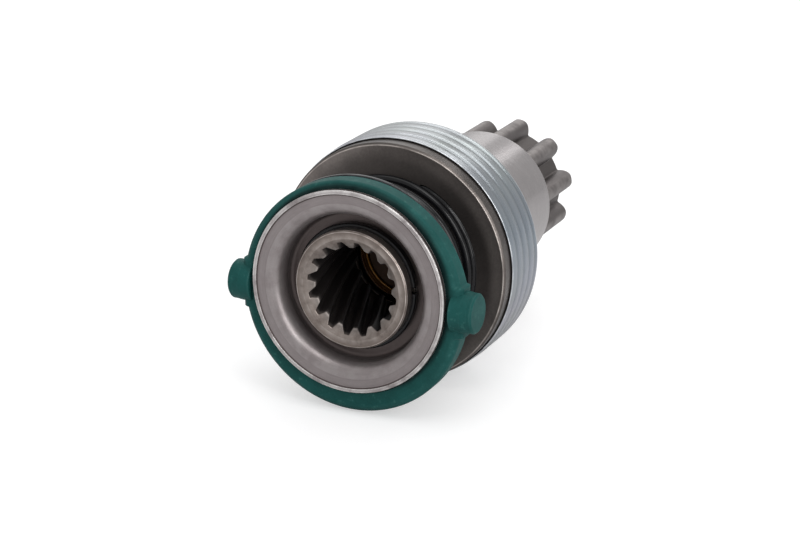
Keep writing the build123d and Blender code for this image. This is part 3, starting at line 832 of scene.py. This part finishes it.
def nylon_material():
    """Dark green moulded nylon with flow marks, a faint speckle, scuffed edges and a painted shadow beside
    the cup's rim.
    """
    material, tree, shader = new_material("green_nylon", 0.0, 0.5, specular=0.10)
    if tree is None:
        return material
    tone, fleck = mottled(tree, 130.0, 1800.0, 0.3)
    speck = remap(tree, noise(tree, object_place(tree), 520.0, 2.0, 0.8), 0.60, 0.70)
    body = tinted(tree, colours().nylon, tone)
    pale = mix_colours(tree, multiply(tree, speck, 0.35), body, (0.05, 0.16, 0.14, 1))
    # The dark colour is that of the painted shadow beside the cup's rim.
    edged(tree, shader, pale, (0.05, 0.13, 0.12), (0.002, 0.009, 0.009), 0.35, 0.92)
    feed(tree, shader.inputs["Roughness"], remap(tree, tone, 0.6, 1.4, 0.58, 0.44))
    bumps(tree, shader, (fleck, 0.35, 0.05))
    return material


class DRIVE_OT_guide_ring(bpy.types.Operator):
    """Make the nylon fork ring with its two trunnion pins"""

    bl_idname = "drive.guide_ring"
    bl_label = "Fork ring"

    def execute(self, context):
        piece = make_fork_ring_mesh(context.scene.drive_sizes)
        settle(piece, "guide_ring", nylon_material(), "green_nylon", "guide_ring")
        return {"FINISHED"}


class DRIVE_OT_spring_seat(bpy.types.Operator):
    """Make the washer that the spring pushes against"""

    bl_idname = "drive.spring_seat"
    bl_label = "Spring seat"

    def execute(self, context):
        inner, outer, front, back = 19.85, 26.9, 4.95, 6.0
        piece = turned_piece("spring_seat_washer", [
            (inner, front, 0.1), (outer, front, 0.3), (outer, back, 0.2), (inner, back, 0.1)])
        settle(piece, "guide_cup", black_material(), "black_steel", "spring_seat")
        return {"FINISHED"}


def make_spring_mesh(sizes):
    """Round wire carried along a helix whose ends are closed and ground flat.

    The wire's centre climbs one wire diameter in the first and last turn and evenly between
    them. The section stays across the path, and points beyond the end planes are set on them.
    """
    wire_size, turns = sizes.spring_wire, sizes.spring_turns
    start, stop = 6.02 * MM, 22.33 * MM
    mean = sizes.spring_radius - wire_size / 2
    per_turn, closed, window, end_angle = 110, 0.97, 45, math.radians(69.0)
    turn = np.linspace(0, turns, int(turns * per_turn) + 1)
    low, high = start - 0.32 * wire_size, stop + 0.32 * wire_size
    climb = np.interp(
        turn, [0, closed, turns - closed, turns], [low, low + wire_size, high - wire_size, high])
    kernel = np.hanning(window)
    padded = np.pad(climb, window // 2, mode="reflect", reflect_type="odd")
    climb = np.convolve(padded, kernel / kernel.sum(), mode="valid")
    angle = end_angle - (turns - turn) * 2 * math.pi
    centre = lathe_points(mean, climb, angle)
    along = np.gradient(centre, axis=0)
    along /= np.linalg.norm(along, axis=1)[:, None]
    out = lathe_points(np.ones_like(angle), 0.0, angle)
    side = np.cross(along, out)
    side /= np.linalg.norm(side, axis=1)[:, None]
    around = circle(36)[..., None]
    swell = np.ones(len(turn))
    swell[[0, 1, -2, -1]] = (0.7, 0.96, 0.96, 0.7)
    swell = swell[:, None, None] * wire_size / 2
    points = centre[:, None] + swell * (np.cos(around) * out[:, None] + np.sin(around) * side[:, None])
    ground = (points[..., 1] < start) | (points[..., 1] > stop)
    points[..., 1] = np.clip(points[..., 1], start, stop)
    return grid_piece(
        "meshing_spring_coil", points, caps=True, wear=ground * 0.35, grime=np.zeros(len(turn)))


class DRIVE_OT_meshing_spring(bpy.types.Operator):
    """Make the black coil spring between the seat and the flange"""

    bl_idname = "drive.meshing_spring"
    bl_label = "Meshing spring"

    def execute(self, context):
        piece = make_spring_mesh(context.scene.drive_sizes)
        settle(piece, "driver", black_material(), "black_steel", "meshing_spring")
        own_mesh(piece)
        return {"FINISHED"}


# ---------------------------------------------------------------- shell, pinion and inner parts


def make_shell_mesh(sizes):
    """Plated shell as a closed turned surface.

    Its outer side is a cylinder less four shallow bell-shaped grooves, sampled closely along
    the axis. A rounded lip, a rear bend, the turned-in flange and the inner side close it.
    """
    outer, inner = sizes.shell_radius, sizes.shell_radius - sizes.shell_sheet
    front, back, hole = 26.15 * MM, 42.65 * MM, 20.2 * MM
    pitch, bell = 3.7 * MM, 0.62 * MM
    place = np.arange(front + 0.75 * MM, back - 1.3 * MM, 0.09 * MM)
    station = front + 2.95 * MM + pitch * np.arange(4)
    dip = np.exp(-(((place[:, None] - station) / bell) ** 2)).sum(1)
    crown = 0.035 * MM * (1 + np.cos((place - station[0]) / pitch * 2 * math.pi))
    lead = 0.26 * MM * (1 - smooth_step(front, front + 3.6 * MM, place))
    radius = outer - 0.01 * MM - crown - lead - sizes.groove_depth * dip * 0.8
    rest, edge = rounded([
        (radius[-1], place[-1], 0), (outer, back, 1.1 * MM), (hole, back, 0.25 * MM),
        (hole, back - sizes.shell_sheet, 0.1 * MM), (inner, back - sizes.shell_sheet, 0.3 * MM),
        (inner, front + 0.45 * MM, 0.1 * MM), (inner + 0.3 * MM, front, 0.1 * MM),
        (radius[0] - 0.02 * MM, front, 0.2 * MM), (radius[0], place[0], 0)], steps=8)
    profile = np.concatenate([np.stack([radius, place], 1)[:-1], rest[:-1]])
    # Painted shade darkens the grooves; the inward corners get soiling and painted shade.
    groove = np.concatenate([np.clip(dip, 0, 1)[:-1], np.zeros(len(rest) - 1)])
    edge = outward(profile, np.concatenate([np.zeros(len(radius) - 1), edge[:-1]]))
    points = lathe_points(profile[:, :1], profile[:, 1:], circle(420))
    return grid_piece("clutch_shell_sheet", points, closed_rows=True,
                      wear=np.clip(edge, 0, 1), grime=np.clip(-edge, 0, 1) * 0.7 + groove * 0.5)


def zinc_material():
    """Bright zinc plate with a blue passivation that drifts towards green and rose, its blue painted
    strongest round the upper side as a sheen.
    """
    material, tree, shader = new_material("zinc_plate", 1.0, 0.27)
    if tree is None:
        return material
    tone, fleck = mottled(tree, 60.0, 1400.0, 0.16)
    height, streak = turned_marks(tree, 260.0, 0.008)
    place = object_place(tree)
    drift = noise(tree, place, 34.0, 3.0, 0.6)
    base = tinted(tree, colours().zinc, streaked(tree, tone, streak, 0.14))
    green = mix_colours(tree, remap(tree, drift, 0.50, 0.64, 0.0, 0.55), base, (0.38, 0.42, 0.40, 1))
    rose = mix_colours(tree, remap(tree, drift, 0.46, 0.36, 0.0, 0.5), green, (0.42, 0.42, 0.50, 1))
    # The blue is painted strongest round the upper side, 9 mm above the axis, as a sheen.
    above = arithmetic(tree, "SUBTRACT", add(tree, "SeparateXYZ", {0: place}).outputs[2], 9 * MM)
    near = remap(tree, arithmetic(tree, "ABSOLUTE", above), 0.0, 20 * MM, 0.6, 0.0)
    blue = mix_colours(tree, near, rose, (0.29, 0.35, 0.42, 1))
    edged(tree, shader, blue, (0.86, 0.89, 0.92), (0.12, 0.14, 0.15), 0.8, 0.6)
    feed(tree, shader.inputs["Roughness"], remap(tree, streak, 0.35, 0.65, 0.23, 0.36))
    bumps(tree, shader, (height, 0.35, 0.03), (fleck, 0.18, 0.03))
    return material


class DRIVE_OT_clutch_shell(bpy.types.Operator):
    """Make the plated sheet shell over the clutch"""

    bl_idname = "drive.clutch_shell"
    bl_label = "Clutch shell"

    def execute(self, context):
        piece = make_shell_mesh(context.scene.clutch_sizes)
        settle(piece, "driver", zinc_material(), "zinc_plate", "clutch_shell")
        return {"FINISHED"}


def involute_angle(radius, base):
    """Angle that an involute has turned through: tangent of the pressure angle less the angle."""
    pressure = np.arccos(np.clip(base / radius, -1, 1))
    return np.tan(pressure) - pressure


def make_pinion_mesh(sizes):
    """Pinion as one closed surface with a row for each station along its profile.

    Across the teeth the radius follows the involute flank, held smoothly between root and
    tip circles. Near the nose the tooth outline is set in along its own normal, which rounds
    the edge, and a cone bevels the tips. Elsewhere every row is a circle.
    """
    count, module = sizes.tooth_count, sizes.tooth_module
    pitch, pressure, profile_shift = count * module / 2, math.radians(20), 0.1
    base = pitch * math.cos(pressure)
    thickness = module * (math.pi / 2 + 2 * profile_shift * math.tan(pressure))
    # Half a tooth's angle against the radius, from the base circle outwards.
    begin = thickness / (2 * pitch) + involute_angle(pitch, base)
    table = np.linspace(base, 22 * MM, 600)
    half = begin - involute_angle(table, base)
    tip, root = sizes.tooth_tip_radius, sizes.tooth_root_radius

    def outline(angle):
        across = np.abs(angle)
        flank = np.interp(across, half[::-1], table[::-1])
        below = np.maximum(across - half[0], 0)  # inside the base circle the flank falls straight
        flank = np.where(across > half[0], base - below * 40 * MM, flank)
        held = soft_min(flank, np.full_like(across, tip), 2.0 * MM)
        return soft_max(held, np.full_like(across, root), 0.5 * MM)

    local = even_angles(outline, 2 * math.pi / count, 60)
    angle = repeated(local, count, sizes.tooth_phase)
    tooth = outline(np.tile(local, count))
    across = np.stack([np.cos(angle), np.sin(angle)], 1)
    flat = tooth[:, None] * across
    along = np.roll(flat, -1, 0) - np.roll(flat, 1, 0)
    inward = np.stack([-along[:, 1], along[:, 0]], 1) / np.linalg.norm(along, axis=1)[:, None]

    neck_end = sizes.neck_end
    end = neck_end + 19.0 * MM
    neck, stop, nose = sizes.neck_radius / MM, neck_end / MM, end / MM
    bore, shank, collar, groove = 11.2, 12.9, 17.3, 15.5
    front, collar_front, collar_back, groove_back = 28.65, 38.9, 40.1, 41.3
    outside, edge_outside = rounded(np.array([
        (bore, front, 0), (shank, front, 0.2), (shank, collar_front, 0.1), (collar, collar_front, 0.2),
        (collar, collar_back, 0.2), (groove, collar_back, 0.1), (groove, groove_back, 0.1),
        (neck - 0.35, groove_back, 0.15), (neck - 0.35, 43.4, 0.15), (neck, 43.55, 0.1),
        (neck, stop - 0.4, 0.15), (neck - 0.4, stop, 0.12), (18.0, stop, 0)]) * MM)
    nose_round, quarter = 0.4 * MM, np.linspace(0.15, 1, 6) * math.pi / 2
    place = np.concatenate([
        [neck_end, neck_end + 0.1 * MM], np.linspace(neck_end + 0.6 * MM, end - 1.6 * MM, 12),
        np.linspace(end - 1.3 * MM, end - 0.45 * MM, 9), end - nose_round * (1 - np.sin(quarter))])
    inset = np.zeros(len(place))
    inset[-len(quarter):] = nose_round * (1 - np.cos(quarter))
    body = flat[None] + inward[None] * inset[:, None, None]
    radius = np.linalg.norm(body, axis=2)
    bevel = (tip + (end - place) - 0.5 * MM)[:, None]
    body = body * (soft_min(radius, np.broadcast_to(bevel, radius.shape), 0.3 * MM) / radius)[..., None]
    ring = across[None] * 12.3 * MM
    face = ring + (body[-1][None] - ring) * np.array([0.985, 0.9, 0.6, 0.3])[:, None, None]
    bush_end = nose - 18.5
    inside, edge_inside = rounded(np.array([
        (12.3, nose, 0), (11.8, nose, 0.15), (bore, nose - 0.6, 0.1), (bore, bush_end, 0.05),
        (11.8, bush_end, 0.05), (11.8, 46.65, 0.05), (bore, 46.65, 0.05), (bore, 29.25, 0.1),
        (11.75, front, 0.1), (12.0, front, 0)]) * MM)
    points = np.concatenate([
        lathe_points(outside[:, :1], outside[:, 1:], angle[None, :]),
        np.stack([body[..., 0], np.repeat(place[:, None], len(angle), 1), body[..., 1]], -1),
        np.stack([face[..., 0], np.full(face.shape[:2], end), face[..., 1]], -1),
        lathe_points(inside[:, :1], inside[:, 1:], angle[None, :])])

    first, last = len(outside), len(outside) + len(place)
    mark = np.concatenate([edge_outside, np.zeros(len(place) + len(face)), edge_inside])
    wear = np.repeat(np.abs(mark)[:, None] * 0.8, len(angle), 1)
    wear[first:last] = 0.35 * smooth_step(tip - 1.0 * MM, tip - 0.1 * MM, tooth)
    wear[last - len(quarter) - 1:last] = 0.7
    grime = np.zeros_like(wear)
    # Darker towards the tooth roots, and on the shank and collar inside the clutch.
    grime[first:last] = 0.5 * (1 - smooth_step(root + 0.2 * MM, root + 1.6 * MM, tooth))
    grime[:first][outside[:, 1] < 43.6 * MM] = 0.5
    toothed = points[:, 0, 1] > neck_end - 1e-7
    return grid_piece("pinion_body", points, closed_rows=True, wear=wear, grime=grime, toothed=toothed)


def pinion_material():
    """Ground steel on the neck; darker hardened steel on the teeth."""
    material, tree, shader = new_material("pinion_steel", 1.0, 0.3)
    if tree is None:
        return material
    paint = colours()
    tone, fleck = mottled(tree, 80.0, 1300.0, 0.14)
    height, streak = turned_marks(tree, 800.0)
    toothed = attribute(tree, "toothed")
    neck = tinted(tree, paint.neck, streaked(tree, tone, streak, 0.07))
    body = mix_colours(tree, toothed, neck, tinted(tree, paint.teeth, tone))
    edged(tree, shader, body, (0.66, 0.62, 0.60), (0.03, 0.022, 0.018), 0.7, 0.8)
    feed(tree, shader.inputs["Roughness"], remap(tree, toothed, 0.0, 1.0, 0.27, 0.46))
    bumps(tree, shader, (height, 0.25, 0.02), (fleck, 0.25, 0.04))
    return material


class DRIVE_OT_pinion(bpy.types.Operator):
    """Make the toothed pinion with its neck and shank"""

    bl_idname = "drive.pinion"
    bl_label = "Pinion"

    def execute(self, context):
        piece = make_pinion_mesh(context.scene.clutch_sizes)
        settle(piece, "pinion", pinion_material(), "ground_steel", "pinion")
        return {"FINISHED"}


class DRIVE_OT_bushes(bpy.types.Operator):
    """Make the two bronze bushes in the pinion"""

    bl_idname = "drive.bushes"
    bl_label = "Bushes"

    def execute(self, context):
        bore, line, outer, length_mm = 9.9, 10.4, 11.2, 16
        # The rubbed colour is the painted highlight's, and the dark colour the painted shade's.
        bronze = metal_material(
            "sintered_bronze", colours().bronze, 0.3, rubbed=(0.95, 0.50, 0.16), rub=1.3, grime=1.0,
            contrast=0.35, fineness=900.0, marks=0.25, grain=0.4, small=2200.0, dirt_and_shade=(0.020, 0.009, 0.004))
        # The bush is painted dark as shade deep inside the pinion, but for one bright line round the edge at
        # each end, a painted highlight.
        for node, start in (("front_bush", 30.65), ("rear_bush", 83.15)):
            end = start + length_mm
            piece = turned_piece(node + "_sleeve", [
                (bore, start + 0.5, 0.08), (line, start, 0.08), (outer, start, 0.06),
                (outer, end, 0.06), (line, end, 0.08), (bore, end - 0.5, 0.08)], columns=240, worn=0.1,
                painted_shade=lambda radius, place: np.where(
                    radius < 9.95 * MM, 0.9, (np.abs(radius - line * MM) > 0.12 * MM) * 0.97),
                brightened=lambda radius, place: (np.abs(radius - line * MM) < 0.07 * MM) * 1.0)
            settle(piece, "pinion", bronze, "bronze", node)
        return {"FINISHED"}


class DRIVE_OT_inner_parts(bpy.types.Operator):
    """Give the races, sprags, cages, washers and seal their finishes"""

    bl_idname = "drive.inner_parts"
    bl_label = "Inner parts"

    def execute(self, context):
        paint = colours()

        def steel(name, share, roughness, **options):
            return object_metal(name, tuple(part * share for part in paint.race), roughness, **options)

        race = steel("polished_race", 1.0, 0.18, contrast=0.12, grain=0.08)
        sprag = steel("sprag_steel", 0.8, 0.3, contrast=0.25)
        cage = steel("cage_strip", 0.6, 0.36)
        coil = steel("garter_wire", 0.5, 0.3, small=2600.0, grain=0.6)
        washer = steel("washer_steel", 0.55, 0.4, contrast=0.35)
        seal = object_metal("seal_felt", paint.rubber, 0.8, metallic=0.0, grain=0.7)
        finishes = {"inner_race": race, "outer_race": race, "outer_cage": cage, "inner_cage": cage,
                    "garter_spring_front": coil, "garter_spring_rear": coil, "thrust_washer": washer,
                    "half_washer_upper": washer, "half_washer_lower": washer, "rear_seal": seal}
        for name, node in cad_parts.items():
            finish = sprag if name.startswith("sprag_") else finishes.get(name)
            if finish is not None:
                node.data.materials.clear()
                node.data.materials.append(finish)
        return {"FINISHED"}


# ---------------------------------------------------------------- studio

# Name, spot, width, height and share of the light power.
LIGHTS = (
    ("key_light", (0.66, -0.52, 0.46), 0.45, 0.40, 0.46),
    ("spark_light", (0.57, -0.50, 0.65), 0.07, 0.07, 0.06),
    ("low_light", (0.88, -0.38, 0.14), 0.30, 0.30, 0.22),
    ("high_light", (0.28, -0.30, 0.92), 0.45, 0.45, 0.40),
    ("back_light", (-0.55, 0.85, 0.50), 0.8, 0.5, 0.20),
    ("strip_light", (0.10, 0.80, 0.78), 1.3, 0.22, 0.55),
    ("slim_light", (0.09, 1.00, 0.60), 0.10, 0.5, 0.06),
    ("top_light", (-0.15, 0.10, 0.95), 0.6, 0.8, 0.25))
LIGHT_AIM = (0, 0.03, 0)


def view_axes(azimuth, elevation):
    """Right, up and forward of a camera at this azimuth and elevation."""
    level = math.cos(elevation)
    back = np.array([math.sin(azimuth) * level, -math.cos(azimuth) * level, math.sin(elevation)])
    right = np.array([math.cos(azimuth), math.sin(azimuth), 0.0])
    return right, np.cross(back, right), -back


def soft_light(name, spot, width, height, power):
    """A rectangular area light at a spot, turned to the aim."""
    light = bpy.data.lights.new(name, "AREA")
    light.shape = "RECTANGLE"
    light.size, light.size_y, light.energy = width, height, power
    lamp = bpy.data.objects.new(name, light)
    bpy.context.scene.collection.objects.link(lamp)
    lamp.location = spot
    ahead = np.array(LIGHT_AIM, float) - spot
    ahead /= np.linalg.norm(ahead)
    lamp.rotation_euler = (math.acos(-ahead[2]), 0.0, math.atan2(ahead[0], -ahead[1]) + math.pi)


def floor_material():
    """Pale floor with a faint cloud, brighter to the camera than to the light it throws back."""
    material, tree, shader = new_material("pale_floor", 0.0, 0.7, specular=0.2)
    if tree is None:
        return material
    cloud = remap(tree, noise(tree, object_place(tree), 3.0), 0.3, 0.7, 0.985, 1.0)
    seen = add(tree, "LightPath").outputs["Is Camera Ray"]
    shade = mix_colours(tree, seen, (0.72, 0.72, 0.725, 1), tinted(tree, colours().floor, cloud))
    feed(tree, shader.inputs["Base Color"], shade)
    feed(tree, shader.inputs["Emission Color"], (1, 1, 1, 1))
    feed(tree, shader.inputs["Emission Strength"], multiply(tree, seen, 0.5))
    return material


class DRIVE_OT_stage(bpy.types.Operator):
    """Make the pale floor, the soft lights and the camera"""

    bl_idname = "drive.stage"
    bl_label = "Studio"

    def execute(self, context):
        scene, studio = context.scene, context.scene.drive_studio
        span = np.linspace(-3, 3, 3)  # a floor 6 m across
        x, y = np.meshgrid(span, span, indexing="ij")
        floor = grid_piece(
            "studio_floor", np.stack([x, y, np.full_like(x, CAD_BOX[0][2])], -1), closed_columns=False)
        if floor.data.polygons[0].normal.z < 0:
            floor.data.flip_normals()
        floor.data.materials.append(floor_material())

        world = bpy.data.worlds.new("studio_room")
        world.use_nodes = True
        room = world.node_tree.nodes["Background"]
        room.inputs[0].default_value = (1.0, 1.0, 1.0, 1)
        room.inputs[1].default_value = studio.world_strength
        scene.world = world
        scene.view_settings.view_transform = "Standard"
        for name, spot, width, height, share in LIGHTS:
            soft_light(name, spot, width, height, studio.key_power * share)

        right, up, ahead = view_axes(studio.azimuth, studio.elevation)
        # The cup's rim lies left of and below the middle of the picture.
        rim, beside, over = np.array([0.0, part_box("guide_cup")[0][1], 0.0]), 12.675 * MM, 6.1625 * MM
        lens = bpy.data.cameras.new("photo_camera")
        lens.lens, lens.sensor_width = studio.lens, 36.0
        lens.clip_start, lens.clip_end = 0.01, 20.0
        camera = bpy.data.objects.new("photo_camera", lens)
        camera.location = rim + beside * right + over * up - studio.distance * ahead
        camera.rotation_euler = (math.pi / 2 - studio.elevation, 0.0, studio.azimuth)
        scene.collection.objects.link(camera)
        scene.camera = camera
        return {"FINISHED"}


class DRIVE_PT_panel(bpy.types.Panel):
    """Lists the drive's sizes, finishes and pieces"""

    bl_idname = "DRIVE_PT_panel"
    bl_label = "Starter Drive"
    bl_space_type = "VIEW_3D"
    bl_region_type = "UI"
    bl_category = "Starter Drive"

    def draw(self, context):
        scene = context.scene
        for title, group in (("Drive", scene.drive_sizes), ("Clutch and pinion", scene.clutch_sizes),
                             ("Finishes", scene.drive_finishes), ("Studio", scene.drive_studio)):
            box = self.layout.box()
            box.label(text=title)
            for label in group.bl_rna.properties.keys():
                if label not in ("rna_type", "name"):
                    box.prop(group, label)
        for step in PIECE_OPERATORS:
            self.layout.operator(step.bl_idname)


PIECE_OPERATORS = (
    DRIVE_OT_stage, DRIVE_OT_driver, DRIVE_OT_snap_ring, DRIVE_OT_guide_cup, DRIVE_OT_guide_ring,
    DRIVE_OT_spring_seat, DRIVE_OT_meshing_spring, DRIVE_OT_clutch_shell, DRIVE_OT_pinion, DRIVE_OT_bushes,
    DRIVE_OT_inner_parts)
CLASSES = (DriveSizes, ClutchSizes, FinishColours, StudioSettings) + PIECE_OPERATORS + (DRIVE_PT_panel,)


def register():
    """Adds the classes and the scene's settings."""
    for item in CLASSES:
        bpy.utils.register_class(item)
    bpy.types.Scene.drive_sizes = PointerProperty(type=DriveSizes)
    bpy.types.Scene.clutch_sizes = PointerProperty(type=ClutchSizes)
    bpy.types.Scene.drive_finishes = PointerProperty(type=FinishColours)
    bpy.types.Scene.drive_studio = PointerProperty(type=StudioSettings)


def unregister():
    """Takes them away again."""
    del bpy.types.Scene.drive_studio, bpy.types.Scene.drive_finishes
    del bpy.types.Scene.clutch_sizes, bpy.types.Scene.drive_sizes
    for item in reversed(CLASSES):
        bpy.utils.unregister_class(item)


def main():
    """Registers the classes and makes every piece."""
    register()
    for step in PIECE_OPERATORS:
        group, action = step.bl_idname.split(".")
        getattr(getattr(bpy.ops, group), action)()


if __name__ == "__main__":
    main()
